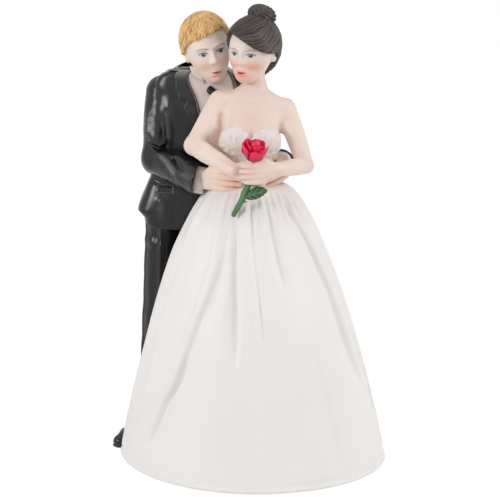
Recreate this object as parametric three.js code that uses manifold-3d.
// Wedding cake topper: a groom in a black suit stands behind a bride in a strapless gown and holds her waist,
// and she holds a rose. The pieces are resin castings, bonded where one colour of paint meets the next.
// Millimetres, +Z up, the couple faces -Y. The origin lies on the table, in the middle of the gown's hem line.

import * as THREE from 'three';
import { mergeVertices } from 'three/addons/utils/BufferGeometryUtils.js';
import Module from 'manifold-3d';

const wasm = await Module();
wasm.setup();

// Bond line between two castings that touch, and the length of the pegs that locate them
const BOND_GAP = 0.3;
const PEG = 3;

// Gown
const WAIST_HEIGHT = 87;
const HEM_RIGHT = 43.2;
const HEM_LEFT = 40.5;
const HEM_FRONT = 42;
const HEM_BACK = 15;
const HEM_SWEEP = 5;
const HEM_LIP = 0.9;
const GATHER_HALF_WIDTH = 10.2;
const GATHER_HALF_DEPTH = 8;
const SKIRT_FLARE = 0.55;
const SKIRT_FLARE_RIGHT = 0.64;
const FOLD_DEPTH = 1.7;
const SKIRT_SIDES = 54;

// Bride's trunk: the waist's centre is off the hem's, and rises are above the waist
const BRIDE_X = -2.6;
const BRIDE_Y = -5;
const BRIDE_WAIST_HALF_WIDTH = 7.6;
const BRIDE_WAIST_HALF_DEPTH = 6;
const BUST_RISE = 15;
const BUST_HALF_WIDTH = 9;
const BUST_HALF_DEPTH = 7;
const BRIDE_SHOULDER_RISE = 23.6;
const BRIDE_SHOULDER_HALF_SPAN = 10.2;
const BRIDE_SHOULDER_HALF_DEPTH = 4.4;
const SHOULDER_TILT = 0.9;
const BRIDE_NECK_RADIUS = 3;
const BRIDE_NECK_LENGTH = 11;

// Bodice: a fitted shell with two cups and a sweetheart neckline
const BODICE_WALL = 1;
const CUP_RADIUS = 5;
const CUP_SPREAD = 4.6;
const CUP_TOP = 4.2;
const CUP_TILT = 0.4;
const NECKLINE_DIP = 4;

// Bride's arms and hands
const BRIDE_ARM_RADIUS = 3.1;
const BRIDE_ELBOW_RADIUS = 2.95;
const BRIDE_WRIST_RADIUS = 1.95;
const BRIDE_ELBOW_DROP = 13.5;
const ELBOW_TILT = 1.85;
const BRIDE_ELBOW_SPREAD = 6.8;
const BRIDE_ELBOW_FORWARD = 6.6;
const BRIDE_PALM_LENGTH = 5;
const BRIDE_PALM_HALF_BREADTH = 2.8;
const BRIDE_FINGER_LENGTH = 5.2;
const BRIDE_FINGER_RADIUS = 0.88;
const ARM_WEB_RADIUS = 2.6;
const HANDS_FORWARD = 18.5;
const HANDS_RISE = 5;

// Bride's head
const BRIDE_FACE_HALF_WIDTH = 6.8;
const BRIDE_FACE_HALF_DEPTH = 8;
const BRIDE_HEAD_HALF_HEIGHT = 8.8;
const BRIDE_HAIR_THICKNESS = 1.5;
const BUN_RADIUS = 4.3;
const BUN_HALF_HEIGHT = 3;
const BUN_STRANDS = 9;

// Rose
const ROSE_RADIUS = 4.2;
const ROSE_HEIGHT = 6.7;
const PETAL_WALL = 0.45;
const PETAL_TUCK = 0.42;
const INNER_PETALS = 3;
const OUTER_PETALS = 5;
const STEM_RADIUS = 1.1;
const STEM_LENGTH = 18;
const LEAF_LENGTH = 5.6;
const LEAF_HALF_WIDTH = 2;
const LEAF_WALL = 0.8;

// Groom's trunk: his hips' centre is off the hem's, and rises are above the bride's waist
const GROOM_X = -22;
const GROOM_Y = 14.5;
const GROOM_LEAN = 5;
const JACKET_HEM_DROP = 16.5;
const JACKET_HEM_HALF_WIDTH = 15.4;
const JACKET_WAIST_HALF_WIDTH = 12.4;
const CHEST_RISE = 19;
const CHEST_HALF_WIDTH = 14.8;
const JACKET_HALF_DEPTH = 9.4;
const COLLAR_RISE = 33.4;
const COLLAR_RADIUS = 5.6;
const COLLAR_STAND = 2;
const PLATE_LIFT = 0.5;
const LAPEL_WALL = 0.9;
const LAPEL_NOTCH = 1.5;
const SHIRT_WALL = 0.5;
const TIE_HALF_WIDTH = 1.7;
const SHIRT_ANGLE = 18;
const KNOT_ANGLE = 10;
const KNOT_GAP = 5;

// Groom's sleeves, cuffs and hands
const GROOM_SHOULDER_HALF_SPAN = 14;
const GROOM_SHOULDER_DROP = 8.2;
const SLEEVE_RADIUS = 5.3;
const SLEEVE_ELBOW_RADIUS = 5.1;
const SLEEVE_END_RADIUS = 4.8;
const SLEEVE_ELBOW_DROP = 19.5;
const LEFT_SLIMMER = 1.2;
const CUFF_RADIUS = 3.6;
const CUFF_SHOW = 2.2;
const CUFF_TUCK = 0.5;
const GROOM_WRIST_RADIUS = 2.3;
const GROOM_PALM_LENGTH = 6;
const GROOM_PALM_HALF_BREADTH = 3.1;
const GROOM_FINGER_LENGTH = 7;
const GROOM_FINGER_RADIUS = 0.95;

// Groom's legs and shoes
const LEG_SPREAD = 15;
const THIGH_RADIUS = 6.2;
const TROUSER_HEM_RADIUS = 6.3;
const TROUSER_HEM_HEIGHT = 3;
const SHOE_LENGTH = 20;
const SHOE_HALF_WIDTH = 3.6;

// Groom's head
const GROOM_FACE_HALF_WIDTH = 6.7;
const GROOM_FACE_HALF_DEPTH = 8;
const GROOM_HEAD_HALF_HEIGHT = 10.1;
const GROOM_HAIR_THICKNESS = 1.2;
const GROOM_NECK_RADIUS = 4;

const UP = new THREE.Vector3(0, 0, 1);
const degrees = THREE.MathUtils.degToRad;
const { lerp, clamp, smoothstep } = THREE.MathUtils;
const vec = (x, y, z) => new THREE.Vector3(x, y, z);
const between = (a, b, share) => a.clone().lerp(b, share);

// Paints: colour and roughness
function paint(colour, roughness) {
  return new THREE.MeshStandardMaterial({ color: colour, roughness, metalness: 0 });
}
const skinPaint = paint(0xecd0be, 0.5);
const gownPaint = paint(0xf1efec, 0.45);
const lacePaint = paint(0xf0e6e2, 0.6);
const suitPaint = paint(0x1d1b1c, 0.3);
const shirtPaint = paint(0xe6dcda, 0.5);
const blondPaint = paint(0xe0ac5c, 0.6);
const darkHairPaint = paint(0x3b302e, 0.5);
const petalPaint = paint(0xc9153f, 0.5);
const stemPaint = paint(0x3f7d45, 0.5);

// Surfaces

// Joins rings of points, each turning anticlockwise about the way that the rings advance, into one closed skin.
function skin(rings) {
  const around = rings[0].length;
  const points = rings.flat();
  const middle = (ring) => ring.reduce((sum, p) => sum.add(p), vec(0, 0, 0)).divideScalar(around);
  const first = points.push(middle(rings[0])) - 1;
  const last = points.push(middle(rings.at(-1))) - 1;
  const top = (rings.length - 1) * around;
  const faces = [];
  for (let i = 0; i < around; i += 1) {
    const next = (i + 1) % around;
    for (let low = 0; low < top; low += around) {
      const high = low + around;
      faces.push(low + i, low + next, high + i, low + next, high + next, high + i);
    }
    faces.push(first, next, i, last, top + i, top + next);
  }
  return new THREE.BufferGeometry().setFromPoints(points).setIndex(faces);
}

// A ring of points round a full turn, from a function of the angle.
function ringOf(count, point) {
  return Array.from({ length: count }, (_, i) => point((2 * Math.PI * i) / count));
}

// A stack of rounded level sections. Each station gives the height z, the section's centre x and y, its half
// width and half depth. Angle 0 faces -Y and angles grow towards +X.
class Stack {
  constructor(stations, power = 2) {
    this.heights = stations.map((station) => station.z);
    this.track = new THREE.CubicInterpolant(
      this.heights,
      stations.flatMap(({ x, y, wide, deep }) => [x, y, wide, deep]),
      4,
    );
    this.bend = 2 / power;
  }

  point(angle, z, grow = 0) {
    const [x, y, wide, deep] = this.track.evaluate(clamp(z, this.heights[0], this.heights.at(-1)));
    const round = (value) => Math.sign(value) * Math.abs(value) ** this.bend;
    return vec(x + (wide + grow) * round(Math.sin(angle)), y - (deep + grow) * round(Math.cos(angle)), z);
  }

  // spread places the rings: 0 evenly, 1 close together at both ends.
  geometry(around, levels, grow = 0, spread = 0) {
    const low = this.heights[0] - grow;
    const high = this.heights.at(-1) + grow;
    const rings = Array.from({ length: levels + 1 }, (_, level) => {
      const share = level / levels;
      const z = lerp(low, high, lerp(share, (1 - Math.cos(Math.PI * share)) / 2, spread));
      return ringOf(around, (angle) => this.point(angle, z, grow));
    });
    return skin(rings);
  }
}
const station = (z, x, y, wide, deep) => ({ z, x, y, wide, deep });

// A tube along a smooth path, with a radius at each path point and round ends. broad is the direction of the
// section's full radius, and square to it the radius is flat times that.
function limb(points, radii, options = {}) {
  const { sides = 10, steps = 4, flat = 1, broad = UP, ends = [0.98, 0.66], grow = 0 } = options;
  const path = new THREE.CatmullRomCurve3(points, false, 'centripetal');
  const track = new THREE.CubicInterpolant(radii.map((_, i) => i / (radii.length - 1)), radii, 1);
  const stops = [
    ...ends.map((reach) => [0, -reach]),
    ...Array.from({ length: steps + 1 }, (_, i) => [i / steps, 0]),
    ...ends.toReversed().map((reach) => [1, reach]),
  ];
  return skin(stops.map(([share, reach]) => {
    const tangent = path.getTangent(share);
    const radius = track.evaluate(share)[0];
    const shrink = Math.sqrt(1 - reach * reach);
    const centre = path.getPoint(share).addScaledVector(tangent, reach * (radius * flat + grow));
    const wide = broad.clone().addScaledVector(tangent, -broad.dot(tangent)).normalize();
    const thin = tangent.clone().cross(wide);
    return ringOf(sides, (turn) => centre
      .clone()
      .addScaledVector(wide, Math.cos(turn) * (radius + grow) * shrink)
      .addScaledVector(thin, Math.sin(turn) * (radius * flat + grow) * shrink));
  }));
}

// A closed plate between an inner and an outer skin: surface(u, v, side) gives a point for u and v from 0 to 1,
// on the inner skin at side 0 and the outer skin at side 1. u, v and outwards are right-handed.
function plate(surface, acrossSteps, alongSteps) {
  const points = [];
  const at = (i, j, side) => (side * (alongSteps + 1) + j) * (acrossSteps + 1) + i;
  for (let side = 0; side <= 1; side += 1) {
    for (let j = 0; j <= alongSteps; j += 1) {
      for (let i = 0; i <= acrossSteps; i += 1) points.push(surface(i / acrossSteps, j / alongSteps, side));
    }
  }
  const faces = [];
  const quad = (a, b, c, d) => faces.push(a, b, c, a, c, d);
  for (let j = 0; j < alongSteps; j += 1) {
    for (let i = 0; i < acrossSteps; i += 1) {
      quad(at(i, j, 1), at(i + 1, j, 1), at(i + 1, j + 1, 1), at(i, j + 1, 1));
      quad(at(i, j + 1, 0), at(i + 1, j + 1, 0), at(i + 1, j, 0), at(i, j, 0));
    }
    quad(at(0, j, 0), at(0, j, 1), at(0, j + 1, 1), at(0, j + 1, 0));
    quad(at(acrossSteps, j + 1, 0), at(acrossSteps, j + 1, 1), at(acrossSteps, j, 1), at(acrossSteps, j, 0));
  }
  for (let i = 0; i < acrossSteps; i += 1) {
    quad(at(i, 0, 0), at(i + 1, 0, 0), at(i + 1, 0, 1), at(i, 0, 1));
    quad(at(i, alongSteps, 1), at(i + 1, alongSteps, 1), at(i + 1, alongSteps, 0), at(i, alongSteps, 0));
  }
  return new THREE.BufferGeometry().setFromPoints(points).setIndex(faces);
}

// A flat outline carried through a thickness: an outline in X and Z along Y, or one in Y and Z along X.
function slab(outline, from, to, along) {
  const flip = along === 'y' ? -1 : 1;
  const shape = new THREE.Shape(outline.map(([a, z]) => new THREE.Vector2(flip * a, z)));
  const made = new THREE.ExtrudeGeometry(shape, { depth: to - from, bevelEnabled: false });
  made.translate(0, 0, from);
  const basis = new THREE.Matrix4();
  if (along === 'y') basis.makeBasis(vec(-1, 0, 0), UP, vec(0, 1, 0));
  else basis.makeBasis(vec(0, 1, 0), UP, vec(1, 0, 0));
  return made.applyMatrix4(basis);
}

// A ball with three half sizes.
function ball(centre, halfSizes, sides = 12, rings = 7) {
  return new THREE.SphereGeometry(1, sides, rings).scale(...halfSizes).translate(...centre);
}

// Castings

function solid(geometry) {
  const bare = geometry.clone();
  bare.deleteAttribute('normal');
  bare.deleteAttribute('uv');
  const merged = mergeVertices(bare, 1e-4);
  const corners = merged.index.array;
  const triangles = [];
  for (let i = 0; i < corners.length; i += 3) {
    const [a, b, c] = corners.subarray(i, i + 3);
    if (a !== b && b !== c && c !== a) triangles.push(a, b, c);
  }
  const vertProperties = new Float32Array(merged.attributes.position.array);
  return new wasm.Manifold(new wasm.Mesh({ numProp: 3, vertProperties, triVerts: new Uint32Array(triangles) }));
}

// A form is one casting before it is cut to its neighbours. build(grow) gives its geometry, swollen by grow.
class Form {
  constructor(group, build) {
    this.group = group;
    this.build = build;
  }

  // The form as a solid in another group's frame.
  solidIn(group, grow) {
    group.updateWorldMatrix(true, false);
    this.group.updateWorldMatrix(true, false);
    const shift = group.matrixWorld.clone().invert().multiply(this.group.matrixWorld);
    return [this.build(grow)]
      .flat()
      .map((geometry) => solid(geometry.clone().applyMatrix4(shift)))
      .reduce((sum, part) => sum.add(part));
  }
}

// Adds a form to its group as a named mesh. It gives way to the neighbours named in against by the bond gap,
// and the forms named in trim cut it flush. Crumbs left by a cut are dropped.
function place(name, form, material, { against = [], trim = [] } = {}) {
  let made = form.solidIn(form.group, 0);
  for (const neighbour of against) made = made.subtract(neighbour.solidIn(form.group, BOND_GAP));
  for (const cutter of trim) made = made.subtract(cutter.solidIn(form.group, 0));
  const [largest] = made.decompose().sort((a, b) => b.volume() - a.volume());
  const { vertProperties, triVerts } = largest.getMesh();
  const geometry = new THREE.BufferGeometry();
  geometry.setAttribute('position', new THREE.BufferAttribute(vertProperties, 3));
  geometry.setIndex(new THREE.BufferAttribute(triVerts, 1));
  geometry.computeVertexNormals();
  const mesh = new THREE.Mesh(geometry, material);
  mesh.name = name;
  form.group.add(mesh);
}

// Groups: each figure, each head, which is turned and tilted, and the rose with its leaning bloom

const shoulderHeight = WAIST_HEIGHT + BRIDE_SHOULDER_RISE;
const brideNeckTop = shoulderHeight + BRIDE_NECK_LENGTH;
const chestHeight = WAIST_HEIGHT + CHEST_RISE;
const collarHeight = WAIST_HEIGHT + COLLAR_RISE;
const jacketHem = WAIST_HEIGHT - JACKET_HEM_DROP;
const grip = vec(BRIDE_X + 1.2, BRIDE_Y - HANDS_FORWARD, WAIST_HEIGHT + HANDS_RISE);
const stemTop = grip.clone().addScaledVector(vec(-0.022, -0.033, 0.2), STEM_LENGTH);

const topper = new THREE.Group();
const bride = new THREE.Group();
const groom = new THREE.Group();
const rose = new THREE.Group();
topper.add(bride, groom, rose);

// Adds a group that nods forwards by pitch, turns towards +X by yaw and leans its top towards +X by roll.
function posed(parent, centre, pitch, yaw, roll) {
  const group = new THREE.Group();
  group.position.copy(centre);
  group.rotation.set(degrees(pitch), degrees(roll), degrees(yaw), 'YZX');
  parent.add(group);
  return group;
}
const brideHead = posed(
  bride, vec(BRIDE_X + 1.3, BRIDE_Y + 0.5, brideNeckTop - 3.6 + BRIDE_HEAD_HALF_HEIGHT), 8, -27, 5,
);
const groomHead = posed(
  groom,
  vec(GROOM_X + GROOM_LEAN + 1.7, GROOM_Y - 7.5, collarHeight - 3.8 + GROOM_HEAD_HALF_HEIGHT),
  10,
  12,
  -14,
);
const bloom = posed(rose, stemTop.clone().add(vec(0, 0, STEM_RADIUS + BOND_GAP)), 16, 0, 8);

// Gown skirt

// Folds run from an angle at the waist to an angle at the hem, in degrees. from is the share of the height, up
// from the hem, at which a fold starts, and depth is its share of the full fold depth.
const folds = [
  { waist: -100, hem: -112, width: 13, depth: 0.8, from: 0 },
  { waist: -70, hem: -94, width: 13, depth: 0.9, from: 0.05 },
  { waist: -18, hem: -60, width: 9, depth: 1, from: 0.03 },
  { waist: -30, hem: -34, width: 10, depth: 0.4, from: 0.2 },
  { waist: -9, hem: -8, width: 7, depth: 0.9, from: 0.15 },
  { waist: 7, hem: 9, width: 7, depth: 0.8, from: 0.15 },
  { waist: 21, hem: 30, width: 8, depth: 0.8, from: 0.25 },
  { waist: 36, hem: 66, width: 11, depth: 1.1, from: 0.05 },
  { waist: 70, hem: 88, width: 11, depth: 0.8, from: 0 },
  { waist: 105, hem: 112, width: 14, depth: 1, from: 0 },
];

// How far the folds press the skirt in, at an angle in degrees and a share of the height.
function foldDepth(angle, share) {
  return folds.reduce((sum, fold) => {
    const across = (angle - lerp(fold.hem, fold.waist, share)) / fold.width;
    const strength = fold.depth * smoothstep(share, fold.from, fold.from + 0.3);
    return sum + FOLD_DEPTH * strength * Math.exp(-across * across);
  }, 0);
}

function skirtPoint(angle, z, grow) {
  const share = clamp(z / WAIST_HEIGHT, 0, 1);
  const side = Math.sin(angle);
  const ahead = Math.cos(angle);
  const rightness = Math.max(0, -side) ** 2;
  const flare = (1 - share) ** lerp(SKIRT_FLARE, SKIRT_FLARE_RIGHT, rightness);
  const lip = HEM_LIP - Math.sqrt(HEM_LIP ** 2 - clamp(HEM_LIP - z, 0, HEM_LIP) ** 2);
  const turn = THREE.MathUtils.radToDeg(Math.atan2(side, ahead));
  const inset = foldDepth(turn, share) * Math.min(1, 4 * flare) + lip - grow;
  const wide = lerp(GATHER_HALF_WIDTH, side < 0 ? HEM_RIGHT : HEM_LEFT, flare) - inset;
  const deep = lerp(GATHER_HALF_DEPTH, ahead > 0 ? HEM_FRONT : HEM_BACK, flare) - inset;
  const sweep = HEM_SWEEP * flare ** 2 * rightness;
  return vec(BRIDE_X * Math.min(1, 1.3 * share) + wide * side, BRIDE_Y * share - deep * ahead + sweep, z);
}

const skirtHeights = [
  0,
  HEM_LIP / 3,
  HEM_LIP,
  ...[0.12, 0.24, 0.38, 0.52, 0.66, 0.78, 0.88, 0.95, 1].map((share) => share * WAIST_HEIGHT),
];
const skirt = new Form(bride, (grow) => skin(skirtHeights.map((height, row) => {
  const end = row === 0 ? -grow : 0;
  const top = row === skirtHeights.length - 1 ? grow : 0;
  return ringOf(SKIRT_SIDES, (angle) => skirtPoint(angle, height + end + top, grow));
})));

// Bride's trunk, from the peg in the skirt to the top of the neck

const bustHeight = WAIST_HEIGHT + BUST_RISE;
const bustX = BRIDE_X + 0.8;
const trunkWaist = [BRIDE_X, BRIDE_Y, BRIDE_WAIST_HALF_WIDTH, BRIDE_WAIST_HALF_DEPTH];
const trunkBust = [bustX, BRIDE_Y - 0.2, BUST_HALF_WIDTH, BUST_HALF_DEPTH];
const neck = BRIDE_NECK_RADIUS;
const span = BRIDE_SHOULDER_HALF_SPAN;
const shoulderDepth = BRIDE_SHOULDER_HALF_DEPTH;
const trunkStack = new Stack([
  station(WAIST_HEIGHT - PEG, ...trunkWaist),
  station(WAIST_HEIGHT + 4, ...trunkWaist),
  station(bustHeight, ...trunkBust),
  station(shoulderHeight - 3.6, bustX, BRIDE_Y + 0.6, span, shoulderDepth + 1.3),
  station(shoulderHeight, BRIDE_X + 0.5, BRIDE_Y + 1.4, span + 0.9, shoulderDepth),
  station(shoulderHeight + 2.2, BRIDE_X + 0.4, BRIDE_Y + 1.5, span - 2.2, shoulderDepth - 0.5),
  station(shoulderHeight + 3.9, BRIDE_X + 1.6, BRIDE_Y + 1.5, neck + 1.2, neck + 0.5),
  station(shoulderHeight + 5.6, BRIDE_X + 2.6, BRIDE_Y + 1.6, neck + 0.1, neck),
  station(brideNeckTop, BRIDE_X + 2, BRIDE_Y + 2.4, neck, neck),
]);
const trunk = new Form(bride, (grow) => trunkStack.geometry(16, 12, grow));

// Bodice: a fitted shell round the trunk, with two cups, trimmed along a sweetheart neckline

const cupHeight = bustHeight - 1.2;
const walled = ([x, y, wide, deep]) => [x, y, wide + BODICE_WALL, deep + BODICE_WALL];
const bodiceStack = new Stack([
  station(WAIST_HEIGHT + BOND_GAP, ...walled(trunkWaist)),
  station(WAIST_HEIGHT + 4, ...walled(trunkWaist)),
  station(bustHeight, ...walled(trunkBust)),
  station(shoulderHeight, ...walled(trunkBust)),
]);
const bodice = new Form(bride, (grow) => [
  bodiceStack.geometry(16, 5, grow),
  ...[-1, 1].map((side) => ball(
    vec(bustX + side * CUP_SPREAD, BRIDE_Y + 1.4 - BUST_HALF_DEPTH, cupHeight - side * CUP_TILT),
    [CUP_RADIUS + grow, 0.85 * CUP_RADIUS + grow, CUP_RADIUS + grow],
    9,
    6,
  )),
]);

// The space above the neckline: two lobes over the cups in front, and a level edge behind.
const aboveNeckline = new Form(bride, () => {
  const top = cupHeight + CUP_TOP;
  const low = top - NECKLINE_DIP;
  const reach = 2 * BRIDE_SHOULDER_HALF_SPAN;
  const lobeEnd = CUP_SPREAD + CUP_RADIUS;
  const lobes = Array.from({ length: 17 }, (_, i) => {
    const across = i / 8 - 1;
    const rise = NECKLINE_DIP * Math.abs(Math.sin(Math.PI * across)) ** 0.7;
    return [bustX + across * lobeEnd, low + rise - CUP_TILT * across];
  });
  const above = [[BRIDE_X + reach, shoulderHeight + reach], [BRIDE_X - reach, shoulderHeight + reach]];
  return [
    slab([[BRIDE_X - reach, low], ...lobes, [BRIDE_X + reach, low], ...above], BRIDE_Y - reach, BRIDE_Y, 'y'),
    slab([[BRIDE_X - reach, low], [BRIDE_X + reach, low], ...above], BRIDE_Y - BOND_GAP, BRIDE_Y + reach, 'y'),
  ];
});

// Arms and hands

// An arm or a sleeve: an upper length and a fore length that meet in a round elbow.
function bentArm([shoulder, elbow, wrist], [top, bend, end], outward, grow) {
  const upper = [shoulder, between(shoulder, elbow, 0.5).add(outward), elbow];
  const fore = [elbow, between(elbow, wrist, 0.5).add(outward), wrist];
  const length = { sides: 7, steps: 3, ends: [0.85], grow };
  return [
    limb(upper, [top, lerp(top, bend, 0.4), bend], { ...length, broad: vec(1, 0, 0) }),
    limb(fore, [bend, lerp(bend, end, 0.4), end], length),
  ];
}

// A hand from its wrist: the palm runs to the knuckles and the fingers run on to the tips, bowed out along the
// back of the hand, with the index finger on top. thumb gives the thumb's line from the knuckles, in halves of
// the palm's breadth.
function handParts({ wrist, knuckles, reach, back, thumb, wristRadius, palm, finger }, grow) {
  const digit = { sides: 5, steps: 2, ends: [0.9], grow };
  const pitch = 1.84 * finger;
  const fingers = [0.82, 0.96, 1, 0.93].map((length, i) => {
    const base = knuckles.clone().addScaledVector(UP, (i - 1.5) * pitch);
    const bow = base.clone().addScaledVector(reach, 0.5 * length).addScaledVector(back, 0.9 * finger);
    const tip = base.clone().addScaledVector(reach, length);
    return limb([base, bow, tip], [finger, finger, 0.8 * finger], digit);
  });
  const root = between(wrist, knuckles, 0.35).addScaledVector(UP, 0.5 * palm);
  const thumbLine = [root, ...thumb.map((offset) => knuckles.clone().addScaledVector(offset, palm))];
  return [
    limb([wrist, knuckles], [wristRadius, palm], { sides: 8, steps: 2, flat: 0.55, ends: [0.9], grow }),
    ...fingers,
    limb(thumbLine, [1.15 * finger, 1.1 * finger, 0.85 * finger], digit),
  ];
}

// The bride's arms fold in front, so that both hands meet on the stem

const brideWaist = vec(BRIDE_X, BRIDE_Y, WAIST_HEIGHT);
const atWaist = (x, y, z) => brideWaist.clone().addScaledVector(vec(x, y, z), GATHER_HALF_WIDTH);
const brideShoulder = (side) => vec(
  BRIDE_X + 0.5 + side * BRIDE_SHOULDER_HALF_SPAN, BRIDE_Y + 1.8, shoulderHeight - 0.8 - side * SHOULDER_TILT,
);
const brideElbow = (side) => brideShoulder(side).add(
  vec(side * BRIDE_ELBOW_SPREAD, -BRIDE_ELBOW_FORWARD, -BRIDE_ELBOW_DROP - side * ELBOW_TILT),
);
const brideWristRight = grip.clone().addScaledVector(vec(-1.12, 0.68, 0.18), BRIDE_PALM_LENGTH);
const brideWristLeft = grip.clone().addScaledVector(vec(1.44, 0.16, 0.3), BRIDE_PALM_LENGTH);
const brideArm = (side, wrist) => new Form(bride, (grow) => bentArm(
  [brideShoulder(side), brideElbow(side), wrist],
  [BRIDE_ARM_RADIUS, BRIDE_ELBOW_RADIUS, BRIDE_WRIST_RADIUS],
  vec(0.3 * side, 0, 0),
  grow,
));
// Resin fills the undercut between the right arm and the trunk.
const bareRightArm = brideArm(-1, brideWristRight);
const armpit = brideShoulder(-1).add(vec(0, -0.2, -ARM_WEB_RADIUS));
const brideRightArm = new Form(bride, (grow) => [
  ...bareRightArm.build(grow),
  limb(
    [
      armpit,
      between(armpit, brideElbow(-1), 0.5).add(vec(0.8 * ARM_WEB_RADIUS, 0, 0)),
      atWaist(-1.04, -0.06, 0.98),
    ],
    [ARM_WEB_RADIUS, ARM_WEB_RADIUS, ARM_WEB_RADIUS],
    { sides: 8, steps: 3, broad: vec(1, 0, 0), ends: [0.85], grow },
  ),
]);
const brideLeftArm = brideArm(1, brideWristLeft);

const brideHand = (wrist, toKnuckles, reach, thumb) => new Form(bride, (grow) => handParts({
  wrist,
  knuckles: wrist.clone().addScaledVector(toKnuckles.normalize(), BRIDE_PALM_LENGTH),
  reach: reach.normalize().multiplyScalar(BRIDE_FINGER_LENGTH),
  back: vec(0, -1, 0),
  thumb,
  wristRadius: BRIDE_WRIST_RADIUS,
  palm: BRIDE_PALM_HALF_BREADTH,
  finger: BRIDE_FINGER_RADIUS,
}, grow));
const brideLeftHand = brideHand(
  brideWristLeft, vec(-1, -0.42, -0.16), vec(-1, 0.06, -0.1), [vec(-0.15, -0.15, 1.2), vec(-1.1, 0, 1.25)],
);
const brideRightHand = brideHand(
  brideWristRight, vec(1, -0.04, -0.3), vec(1, 0.1, -0.14), [vec(-0.38, 0, 1.15), vec(0.6, 0.08, 1.27)],
);

// Rose: a stem with a leaf, and a bloom of a bud and two turns of petals

const stem = new Form(rose, (grow) => limb(
  [
    stemTop,
    grip.clone().addScaledVector(vec(-0.022, 0.078, 0), STEM_LENGTH),
    stemTop.clone().addScaledVector(vec(-0.122, 0.089, -0.55), STEM_LENGTH),
    stemTop.clone().addScaledVector(vec(-0.3, 0.111, -0.917), STEM_LENGTH),
  ],
  [STEM_RADIUS, STEM_RADIUS, 1.1 * STEM_RADIUS, 0.85 * STEM_RADIUS],
  { sides: 8, steps: 9, broad: vec(1, 0, 0), grow },
));
const leafRoot = stemTop.clone().addScaledVector(vec(-0.028, 0.044, -0.544), STEM_LENGTH);
const leaf = new Form(rose, (grow) => plate((u, v, side) => {
  const across = 1 - 2 * u;
  const half = LEAF_HALF_WIDTH * Math.sin(Math.PI * (0.06 + 0.88 * v)) ** 0.8 + grow;
  const arch = 0.5 * Math.abs(across) - 0.9 * Math.sin(Math.PI * v);
  return leafRoot.clone().add(vec(
    (LEAF_LENGTH + 2 * grow) * v - grow,
    arch - (side ? LEAF_WALL + grow : -grow),
    half * across + 0.9 * Math.sin(Math.PI * v) + 0.35 * LEAF_LENGTH * v,
  ));
}, 4, 6));

const budProfile = [[0, 0.1], [0.3, 0.1], [0.62, 0.35], [0.7, 0.6], [0.6, 0.85], [0.3, 0.97], [0, 1]];
const bud = new Form(bloom, (grow) => new THREE.LatheGeometry(
  budProfile.map(([radius, height]) => new THREE.Vector2(
    radius ? (radius * ROSE_RADIUS) / ROSE_HEIGHT * 1.6 + grow : 0,
    ROSE_HEIGHT * height,
  )),
  10,
).rotateX(Math.PI / 2));

// One petal: it wraps part of the bloom, tucks under its neighbour at one edge and rolls out at its rim.
const petal = (turn, radius, height, halfSpan, roll) => new Form(bloom, (grow) => plate((u, v, side) => {
  const across = 2 * u - 1;
  const span = halfSpan * (0.7 + 0.3 * Math.sin(Math.PI * Math.min(v, 0.5)));
  const angle = turn + across * span;
  const cup = radius * (0.45 + 0.55 * Math.sin((Math.PI / 2) * Math.min(1, 1.5 * v)));
  const tuck = PETAL_TUCK * across * smoothstep(v, 0, 0.35);
  const reach = cup + tuck + roll * v ** 3 + (side ? PETAL_WALL + grow : -grow);
  const rise = height * v * (1 - 0.14 * across * across);
  return vec(reach * Math.sin(angle), -reach * Math.cos(angle), rise);
}, 5, 4));
const turnOf = (count, radius, height, halfSpan, roll, start) => Array.from({ length: count }, (_, i) => petal(
  (2 * Math.PI * (i + start)) / count, radius, height, degrees(halfSpan), roll,
));
const outerRoll = 0.35;
const outerRadius = ROSE_RADIUS - PETAL_WALL - PETAL_TUCK - outerRoll;
const innerRoll = 0.15;
const innerRadius = outerRadius - 2 * PETAL_TUCK - PETAL_WALL - innerRoll - BOND_GAP;
const petals = [
  ...turnOf(INNER_PETALS, innerRadius, 0.96 * ROSE_HEIGHT, 66, innerRoll, 0.3),
  ...turnOf(OUTER_PETALS, outerRadius, 0.84 * ROSE_HEIGHT, 40, outerRoll, 0),
];

// Heads: a stack from chin to crown in the head's own frame, with a nose and ears

// Stations hold the height, the front and back of the section and its half width, as shares of the half sizes.
const headStations = [
  [-1, -0.74, -0.4, 0.2],
  [-0.92, -0.88, -0.2, 0.42],
  [-0.78, -0.93, 0.02, 0.58],
  [-0.58, -0.94, 0.26, 0.73],
  [-0.34, -0.96, 0.58, 0.87],
  [-0.08, -0.97, 0.86, 0.96],
  [0.22, -1, 1, 1],
  [0.48, -0.95, 1, 0.97],
  [0.7, -0.8, 0.86, 0.83],
  [0.87, -0.52, 0.6, 0.58],
  [1, -0.14, 0.22, 0.18],
];
const headStack = ([width, depth, height]) => new Stack(headStations.map(([z, front, back, wide]) => station(
  z * height, 0, ((front + back) / 2) * depth, wide * width, ((back - front) / 2) * depth,
)));

function headParts(face, grow) {
  const [width, depth, height] = face;
  const nose = limb(
    [[-0.9, 0.1], [-1.02, -0.14], [-0.98, -0.27]].map(([y, z]) => vec(0, y * depth, z * height)),
    [0.06 * width, 0.14 * width, 0.14 * width],
    { sides: 6, steps: 2, broad: vec(1, 0, 0), ends: [0.9], grow },
  );
  const ears = [-1, 1].map((side) => ball(
    vec(0.97 * side * width, 0.1 * depth, -0.1 * height),
    [0.12 * width + grow, 0.17 * depth + grow, 0.19 * height + grow],
    6,
    5,
  ));
  return [headStack(face).geometry(12, 10, grow, 0.7), nose, ...ears];
}

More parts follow.
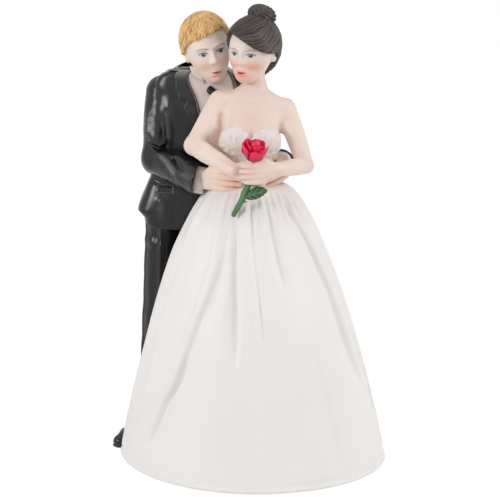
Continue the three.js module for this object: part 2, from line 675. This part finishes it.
const brideFace = [BRIDE_FACE_HALF_WIDTH, BRIDE_FACE_HALF_DEPTH, BRIDE_HEAD_HALF_HEIGHT];
const groomFace = [GROOM_FACE_HALF_WIDTH, GROOM_FACE_HALF_DEPTH, GROOM_HEAD_HALF_HEIGHT];
const brideHeadForm = new Form(brideHead, (grow) => headParts(brideFace, grow));
const groomHeadForm = new Form(groomHead, (grow) => [
  ...headParts(groomFace, grow),
  limb(
    [[0.2, -0.3], [0.36, -1.16]].map(([y, z]) => (
      vec(0, y * GROOM_FACE_HALF_DEPTH, z * GROOM_HEAD_HALF_HEIGHT)
    )),
    [GROOM_NECK_RADIUS, GROOM_NECK_RADIUS],
    { sides: 12, steps: 2, broad: vec(1, 0, 0), grow },
  ),
]);

// Hair: a cap round the head, trimmed along the hairline

const hairCap = (face, thickness, grow) => (
  headStack(face.map((half) => half + thickness)).geometry(12, 9, grow, 0.7)
);
const groomHair = new Form(groomHead, (grow) => hairCap(groomFace, GROOM_HAIR_THICKNESS, grow));
const groomBelowHairline = new Form(groomHead, () => {
  const [width, depth, height] = groomFace;
  const far = 3;
  const line = [
    [-far, 0.5], [-0.72, 0.5], [-0.34, 0.3], [-0.16, -0.16], [0.3, -0.2], [0.5, -0.5],
    [far, -0.62], [far, -far], [-far, -far],
  ];
  return slab(line.map(([y, z]) => [y * depth, z * height]), -far * width, far * width, 'x');
});

const brideHair = new Form(brideHead, (grow) => hairCap(brideFace, BRIDE_HAIR_THICKNESS, grow));
const brideBelowHairline = new Form(brideHead, () => {
  const [width, depth, height] = brideFace;
  const far = 3;
  const parting = [[-far, 0.66], [-0.6, 0.66], [0.9, 0.16], [far, 0.1], [far, -far], [-far, -far]];
  const nape = [[-far, -0.5], [0.2, -0.34], [0.5, -0.8], [far, -0.9], [far, -far], [-far, -far]];
  return [
    slab(parting.map(([x, z]) => [x * width, z * height]), -far * depth, 0.1 * depth, 'y'),
    slab(nape.map(([y, z]) => [y * depth, z * height]), -far * width, far * width, 'x'),
  ];
});

// Bun: a flattened ball whose section carries twisted strands
const bunCentre = vec(0.6, 4.2, BRIDE_HEAD_HALF_HEIGHT + BRIDE_HAIR_THICKNESS + 0.5);
const bun = new Form(brideHead, (grow) => skin(Array.from({ length: 7 }, (_, level) => {
  const tilt = Math.PI * (0.02 + 0.16 * level - 0.5);
  return ringOf(2 * BUN_STRANDS, (angle) => {
    const strand = 1 + 0.06 * Math.cos(BUN_STRANDS * angle + 2.1 * level);
    const radius = BUN_RADIUS * Math.cos(tilt) * strand + grow;
    return bunCentre.clone().add(vec(
      radius * Math.cos(angle), radius * Math.sin(angle), (BUN_HALF_HEIGHT + grow) * Math.sin(tilt),
    ));
  });
})));

// Jacket body

const jacketLevel = (z, lean, y, wide, deep) => station(
  z, GROOM_X + GROOM_LEAN * lean, GROOM_Y + y * JACKET_HALF_DEPTH, wide, deep * JACKET_HALF_DEPTH,
);
const jacketStack = new Stack([
  jacketLevel(jacketHem, 0, 0, 0.987 * JACKET_HEM_HALF_WIDTH, 1.05),
  jacketLevel(jacketHem + 0.3 * JACKET_HEM_DROP, 0, 0, JACKET_HEM_HALF_WIDTH, 1.04),
  jacketLevel(WAIST_HEIGHT + 0.05 * CHEST_RISE, 0.25, 0, JACKET_WAIST_HALF_WIDTH, 0.92),
  jacketLevel(
    lerp(WAIST_HEIGHT, chestHeight, 0.5), 0.6, 0, lerp(JACKET_WAIST_HALF_WIDTH, CHEST_HALF_WIDTH, 0.5), 0.98,
  ),
  jacketLevel(chestHeight, 0.88, 0, CHEST_HALF_WIDTH, 1),
  jacketLevel(collarHeight - 1.41 * COLLAR_RADIUS, 0.98, -0.04, 0.96 * CHEST_HALF_WIDTH, 0.88),
  jacketLevel(collarHeight - 0.68 * COLLAR_RADIUS, 0.84, -0.13, 0.825 * CHEST_HALF_WIDTH, 0.72),
  jacketLevel(collarHeight - 0.25 * COLLAR_RADIUS, 0.87, -0.21, 1.66 * COLLAR_RADIUS, 0.62),
  jacketLevel(collarHeight, 1.02, -0.28, 1.18 * COLLAR_RADIUS, 0.56),
], 2.3);
const jacket = new Form(groom, (grow) => jacketStack.geometry(18, 13, grow));

// A plate that follows the jacket: v runs from low to high, edges(v) gives its two angles in degrees, and lift
// is its height off the jacket.
function onJacket({ low, high, edges, wall, across, along, lift = PLATE_LIFT }) {
  return new Form(groom, (grow) => plate((u, v, side) => {
    const [from, to] = edges(v).map(degrees);
    const margin = grow / COLLAR_RADIUS;
    const angle = lerp(from - margin, to + margin, u);
    const z = lerp(low(u) - grow, high(u) + grow, v);
    return jacketStack.point(angle, z, side ? lift + wall + grow : lift - grow);
  }, across, along));
}

const vBottom = chestHeight - 0.475 * CHEST_RISE;
const vHalfAngle = (v) => 4 + 26 * v + 8 * v ** 10;
const onShirt = PLATE_LIFT + SHIRT_WALL + BOND_GAP;
const shirtFront = onJacket({
  low: () => vBottom,
  high: () => collarHeight,
  edges: (v) => [SHIRT_ANGLE - vHalfAngle(v), SHIRT_ANGLE + vHalfAngle(v)],
  wall: SHIRT_WALL,
  across: 8,
  along: 12,
});
const mirrorEdges = (side, inner, outer) => (
  [inner, outer].map((angle) => SHIRT_ANGLE + side * angle).sort((a, b) => a - b)
);
// A leaf of the shirt's collar: it falls to a point beside the knot and stands up beside the neck.
const collarLeaf = (side) => onJacket({
  low: (u) => collarHeight - 0.78 * COLLAR_RADIUS * (side > 0 ? 1 - u : u) ** 1.5,
  high: (u) => collarHeight + (0.09 + 0.35 * (side > 0 ? u : 1 - u)) * COLLAR_RADIUS,
  edges: () => mirrorEdges(side, KNOT_GAP - side * (SHIRT_ANGLE - KNOT_ANGLE), 55),
  wall: SHIRT_WALL,
  across: 6,
  along: 2,
  lift: onShirt,
});
const rightCollarLeaf = collarLeaf(-1);
const leftCollarLeaf = collarLeaf(1);

const lapelWidth = (v) => 6 + 19 * Math.sin(Math.PI * Math.min(1, 0.88 * v));
const lapel = (side) => onJacket({
  low: () => vBottom - PEG,
  high: () => collarHeight + BOND_GAP,
  edges: (v) => mirrorEdges(side, vHalfAngle(v) + 4, vHalfAngle(v) + 4 + lapelWidth(v)),
  wall: LAPEL_WALL,
  across: 3,
  along: 8,
});
const rightLapel = lapel(-1);
const leftLapel = lapel(1);

// The notch between a lapel and its collar, a wedge that opens outwards.
const notchHeight = chestHeight + 0.24 * CHEST_RISE;
const notch = (side) => onJacket({
  low: (u) => notchHeight - (LAPEL_NOTCH / 2) * (side > 0 ? u : 1 - u) - 0.05,
  high: (u) => notchHeight + (LAPEL_NOTCH / 2) * (side > 0 ? u : 1 - u) + 0.05,
  edges: () => mirrorEdges(side, 37, 62),
  wall: 2 * LAPEL_WALL,
  across: 2,
  along: 1,
  lift: 0,
});
const jacketCollar = onJacket({
  low: () => collarHeight - 0.57 * COLLAR_RADIUS,
  high: (u) => collarHeight + COLLAR_STAND * Math.sin(Math.PI * u) ** 0.7,
  edges: () => [SHIRT_ANGLE + 62, SHIRT_ANGLE + 298],
  wall: LAPEL_WALL,
  across: 12,
  along: 3,
});
const pocketFlap = onJacket({
  low: () => WAIST_HEIGHT - 0.33 * JACKET_HEM_DROP,
  high: (u) => WAIST_HEIGHT - (0.135 - 0.025 * u) * JACKET_HEM_DROP,
  edges: () => [-50, -18],
  wall: LAPEL_WALL - 0.2,
  across: 4,
  along: 2,
});

// Tie: a knot under the collar leaves and a blade down the shirt
const knotHeight = collarHeight - 1.125 * COLLAR_RADIUS;
const tie = new Form(groom, (grow) => {
  const onFront = (z) => jacketStack.point(degrees(KNOT_ANGLE), z, onShirt + 0.6 * TIE_HALF_WIDTH);
  const blade = onJacket({
    low: () => vBottom + PEG,
    high: () => knotHeight,
    edges: (v) => [-1, 1].map((side) => lerp(SHIRT_ANGLE, KNOT_ANGLE, v) + side * (8 - 3 * v)),
    wall: SHIRT_WALL,
    across: 2,
    along: 4,
    lift: onShirt,
  });
  const knot = limb(
    [1.2, 0.1, -0.6].map((rise) => onFront(knotHeight + rise * TIE_HALF_WIDTH)),
    [0.5 * TIE_HALF_WIDTH, TIE_HALF_WIDTH, 0.6 * TIE_HALF_WIDTH],
    { sides: 8, steps: 3, flat: 0.6, broad: vec(1, 0, 0), ends: [0.8], grow },
  );
  return [blade.build(grow), knot];
});

// Groom's sleeves, cuffs and hands: both forearms come round to the bride's waist

const groomShoulder = (side) => vec(
  GROOM_X + GROOM_LEAN + 1.5 + side * GROOM_SHOULDER_HALF_SPAN,
  GROOM_Y + 1 + 0.5 * side,
  collarHeight - GROOM_SHOULDER_DROP,
);
const rightArmLine = [
  groomShoulder(-1),
  groomShoulder(-1).addScaledVector(vec(-0.07, -0.333, -1), SLEEVE_ELBOW_DROP),
  atWaist(-1.58, -0.157, 0.137),
];
const leftArmLine = [
  groomShoulder(1),
  groomShoulder(1).addScaledVector(vec(0.205, 0.05, -1), SLEEVE_ELBOW_DROP),
  atWaist(1.118, 0.784, 0.569),
];
// The direction in which a forearm leaves its sleeve. A sleeve runs past its end and is cut there, the right one
// along the view from the front.
const outOf = ([, elbow, end]) => end.clone().sub(elbow).normalize();
const sleeve = (line, slimmer, outward) => new Form(groom, (grow) => bentArm(
  [line[0], line[1], line[2].clone().addScaledVector(outOf(line), SLEEVE_END_RADIUS)],
  [SLEEVE_RADIUS, SLEEVE_ELBOW_RADIUS, SLEEVE_END_RADIUS].map((radius) => radius - slimmer),
  outward,
  grow,
));
const rightSleeve = sleeve(rightArmLine, 0, vec(-0.5, 0.4, 0));
const leftSleeve = sleeve(leftArmLine, LEFT_SLIMMER, vec(0.2, 0.4, 0));

const rightCut = vec(0.98, -0.06, -0.18).normalize();
const leftCut = outOf(leftArmLine);

// The space past a sleeve's open end, where the cuff and hand come out.
const pastSleeve = (line, cut) => new Form(groom, () => {
  const reach = 3 * SLEEVE_RADIUS;
  const turn = new THREE.Quaternion().setFromUnitVectors(UP, cut);
  return new THREE.BoxGeometry(reach, reach, reach)
    .translate(0, 0, reach / 2)
    .applyQuaternion(turn)
    .translate(...line[2]);
});
const cuff = (line, cut, slimmer) => new Form(groom, (grow) => {
  const radius = CUFF_RADIUS - slimmer + grow;
  const turn = new THREE.Quaternion().setFromUnitVectors(vec(0, 1, 0), cut);
  return new THREE.CylinderGeometry(radius - 0.2, radius, CUFF_SHOW + CUFF_TUCK + 2 * grow, 14)
    .translate(0, (CUFF_SHOW - CUFF_TUCK) / 2, 0)
    .applyQuaternion(turn)
    .translate(...line[2]);
});
const rightCuff = cuff(rightArmLine, rightCut, 0);
const leftCuff = cuff(leftArmLine, leftCut, LEFT_SLIMMER - 0.2);

const groomHand = (line, toKnuckles, reach, back, thumb) => new Form(groom, (grow) => {
  const wrist = line[2].clone().addScaledVector(outOf(line), CUFF_SHOW);
  return handParts({
    wrist,
    knuckles: wrist.clone().addScaledVector(toKnuckles.normalize(), 1.2 * GROOM_PALM_LENGTH),
    reach: reach.normalize().multiplyScalar(GROOM_FINGER_LENGTH),
    back,
    thumb,
    wristRadius: GROOM_WRIST_RADIUS,
    palm: GROOM_PALM_HALF_BREADTH,
    finger: GROOM_FINGER_RADIUS,
  }, grow);
});
const groomRightHand = groomHand(
  rightArmLine,
  vec(5.6, -3.9, 1.4),
  vec(7, -1.9, -0.8),
  vec(-0.3, -1, 0),
  [vec(-0.19, 0.19, 1.23), vec(0.71, -0.13, 1.35)],
);
const groomLeftHand = groomHand(
  leftArmLine,
  vec(-0.6, -5.8, -1.6),
  vec(-4.4, -6.6, -1.8),
  vec(0.6, -0.8, 0),
  [vec(-0.26, 0.13, 1.1), vec(-0.52, -0.65, 1.23)],
);

// Trousers and shoes

const legX = (side) => GROOM_X + (side * LEG_SPREAD) / 2;
const leg = (side, outward) => new Form(groom, (grow) => {
  const top = jacketHem - BOND_GAP;
  const radius = TROUSER_HEM_RADIUS;
  const thigh = THIGH_RADIUS;
  const hipY = GROOM_Y + 0.6;
  const stack = new Stack([
    station(TROUSER_HEM_HEIGHT, legX(side) + outward, hipY + 0.48 * radius, radius, 1.06 * radius),
    station(3 * TROUSER_HEM_HEIGHT, legX(side) + outward, hipY + 0.44 * radius, 0.98 * radius, 1.03 * radius),
    station(top / 2, legX(side) + outward / 2, hipY + 0.25 * radius, (radius + thigh) / 2, 1.06 * thigh),
    station(top, legX(side) - outward / 5, hipY, thigh, 1.1 * thigh),
  ], 1.9);
  const peg = new THREE.CylinderGeometry(thigh / 2 + grow, thigh / 2 + grow, 2 * PEG + 2 * grow, 12)
    .rotateX(Math.PI / 2)
    .translate(legX(side), hipY, top);
  return [stack.geometry(14, 6, grow), peg];
});
const rightLeg = leg(-1, -0.37 * THIGH_RADIUS);
const leftLeg = leg(1, 0.19 * THIGH_RADIUS);

// A shoe lies along its foot line, from heel to toe, and is cut flat at the table.
const shoe = (heelX, heelY, heading) => new Form(groom, (grow) => {
  const ahead = vec(Math.sin(degrees(heading)), -Math.cos(degrees(heading)), 0);
  const heel = vec(heelX, heelY, 0);
  const profile = [[0.16, 0.72, 0.94], [0.42, 0.89, 1.11], [0.7, 0.72, 1], [0.9, 0.5, 0.67]];
  return limb(
    profile.map(([share, z]) => (
      heel.clone().addScaledVector(ahead, SHOE_LENGTH * share).setZ(SHOE_HALF_WIDTH * z)
    )),
    profile.map(([, , wider]) => SHOE_HALF_WIDTH * wider),
    { sides: 10, steps: 5, grow },
  );
});
const rightShoe = shoe(legX(-1) - 0.5 * SHOE_HALF_WIDTH, GROOM_Y + 0.375 * SHOE_LENGTH, -43);
const leftShoe = shoe(legX(1) + 0.33 * SHOE_HALF_WIDTH, GROOM_Y + 0.43 * SHOE_LENGTH, 10);
const belowTable = new Form(topper, () => (
  new THREE.BoxGeometry(6 * HEM_RIGHT, 6 * HEM_RIGHT, HEM_FRONT).translate(0, 0, -HEM_FRONT / 2)
));

// Assembly: what is placed first keeps its shape, and what follows is cut to it

place('groom_right_trouser_leg', rightLeg, suitPaint);
place('groom_left_trouser_leg', leftLeg, suitPaint);
place('bride_torso', trunk, skinPaint);
place('bride_skirt', skirt, gownPaint, { against: [trunk, rightLeg, leftLeg] });
place('bride_bodice', bodice, lacePaint, { against: [trunk, skirt], trim: [aboveNeckline] });
place('groom_right_shoe', rightShoe, suitPaint, { against: [rightLeg, skirt], trim: [belowTable] });
place('groom_left_shoe', leftShoe, suitPaint, { against: [leftLeg, skirt], trim: [belowTable] });

place('rose_stem', stem, stemPaint, { against: [skirt] });
place('rose_leaf', leaf, stemPaint, { against: [stem, skirt] });
place('rose_bud', bud, petalPaint);
petals.forEach((form, i) => place(`rose_petal_${i + 1}`, form, petalPaint, { against: [stem, bud] }));

const gown = [trunk, bodice, skirt];
const brideHands = [brideLeftHand, brideRightHand];
place('bride_left_hand', brideLeftHand, skinPaint, { against: [stem, leaf, ...petals, ...gown] });
place('bride_right_hand', brideRightHand, skinPaint, { against: [stem, leaf, brideLeftHand, ...gown] });
place('bride_right_arm', brideRightArm, skinPaint, { against: [...gown, ...brideHands] });
place('bride_left_arm', brideLeftArm, skinPaint, { against: [...gown, ...brideHands] });

place('bride_head', brideHeadForm, skinPaint, { against: [trunk] });
place('bride_hair', brideHair, darkHairPaint, { against: [brideHeadForm, trunk], trim: [brideBelowHairline] });
place('bride_bun', bun, darkHairPaint, { against: [brideHair] });

const brideBody = [...gown, brideRightArm, brideLeftArm];
const brideCrown = [brideHeadForm, brideHair];
place('groom_head', groomHeadForm, skinPaint, { against: [...brideCrown, trunk] });
place('groom_hair', groomHair, blondPaint, {
  against: [groomHeadForm, ...brideCrown],
  trim: [groomBelowHairline],
});
place('groom_jacket', jacket, suitPaint, { against: [groomHeadForm, rightLeg, leftLeg, ...brideBody] });

const onTrunk = [jacket, groomHeadForm, ...brideCrown, ...brideBody];
place('groom_shirt_front', shirtFront, shirtPaint, { against: onTrunk });
place('groom_right_collar_leaf', rightCollarLeaf, shirtPaint, { against: [shirtFront, ...onTrunk] });
place('groom_left_collar_leaf', leftCollarLeaf, shirtPaint, { against: [shirtFront, ...onTrunk] });
place('groom_tie', tie, suitPaint, { against: [rightCollarLeaf, leftCollarLeaf, ...onTrunk] });
place('groom_right_lapel', rightLapel, suitPaint, {
  against: [rightCollarLeaf, ...onTrunk],
  trim: [notch(-1)],
});
place('groom_left_lapel', leftLapel, suitPaint, {
  against: [leftCollarLeaf, ...onTrunk],
  trim: [notch(1)],
});
place('groom_jacket_collar', jacketCollar, suitPaint, {
  against: [rightLapel, leftLapel, groomHair, ...onTrunk],
});

place('groom_right_hand', groomRightHand, skinPaint, { against: [...brideBody, ...brideHands] });
place('groom_left_hand', groomLeftHand, skinPaint, { against: [...brideBody, ...brideHands] });
place('groom_right_cuff', rightCuff, shirtPaint, { against: [groomRightHand, ...brideBody] });
place('groom_left_cuff', leftCuff, shirtPaint, { against: [groomLeftHand, ...brideBody] });
place('groom_right_sleeve', rightSleeve, suitPaint, {
  against: [rightCuff, groomRightHand, rightLapel, jacketCollar, jacket, ...brideBody],
  trim: [pastSleeve(rightArmLine, rightCut)],
});
place('groom_left_sleeve', leftSleeve, suitPaint, {
  against: [leftCuff, groomLeftHand, leftLapel, jacketCollar, jacket, ...brideBody],
  trim: [pastSleeve(leftArmLine, leftCut)],
});
place('groom_pocket_flap', pocketFlap, suitPaint, { against: [rightSleeve, ...brideBody] });

export default topper;
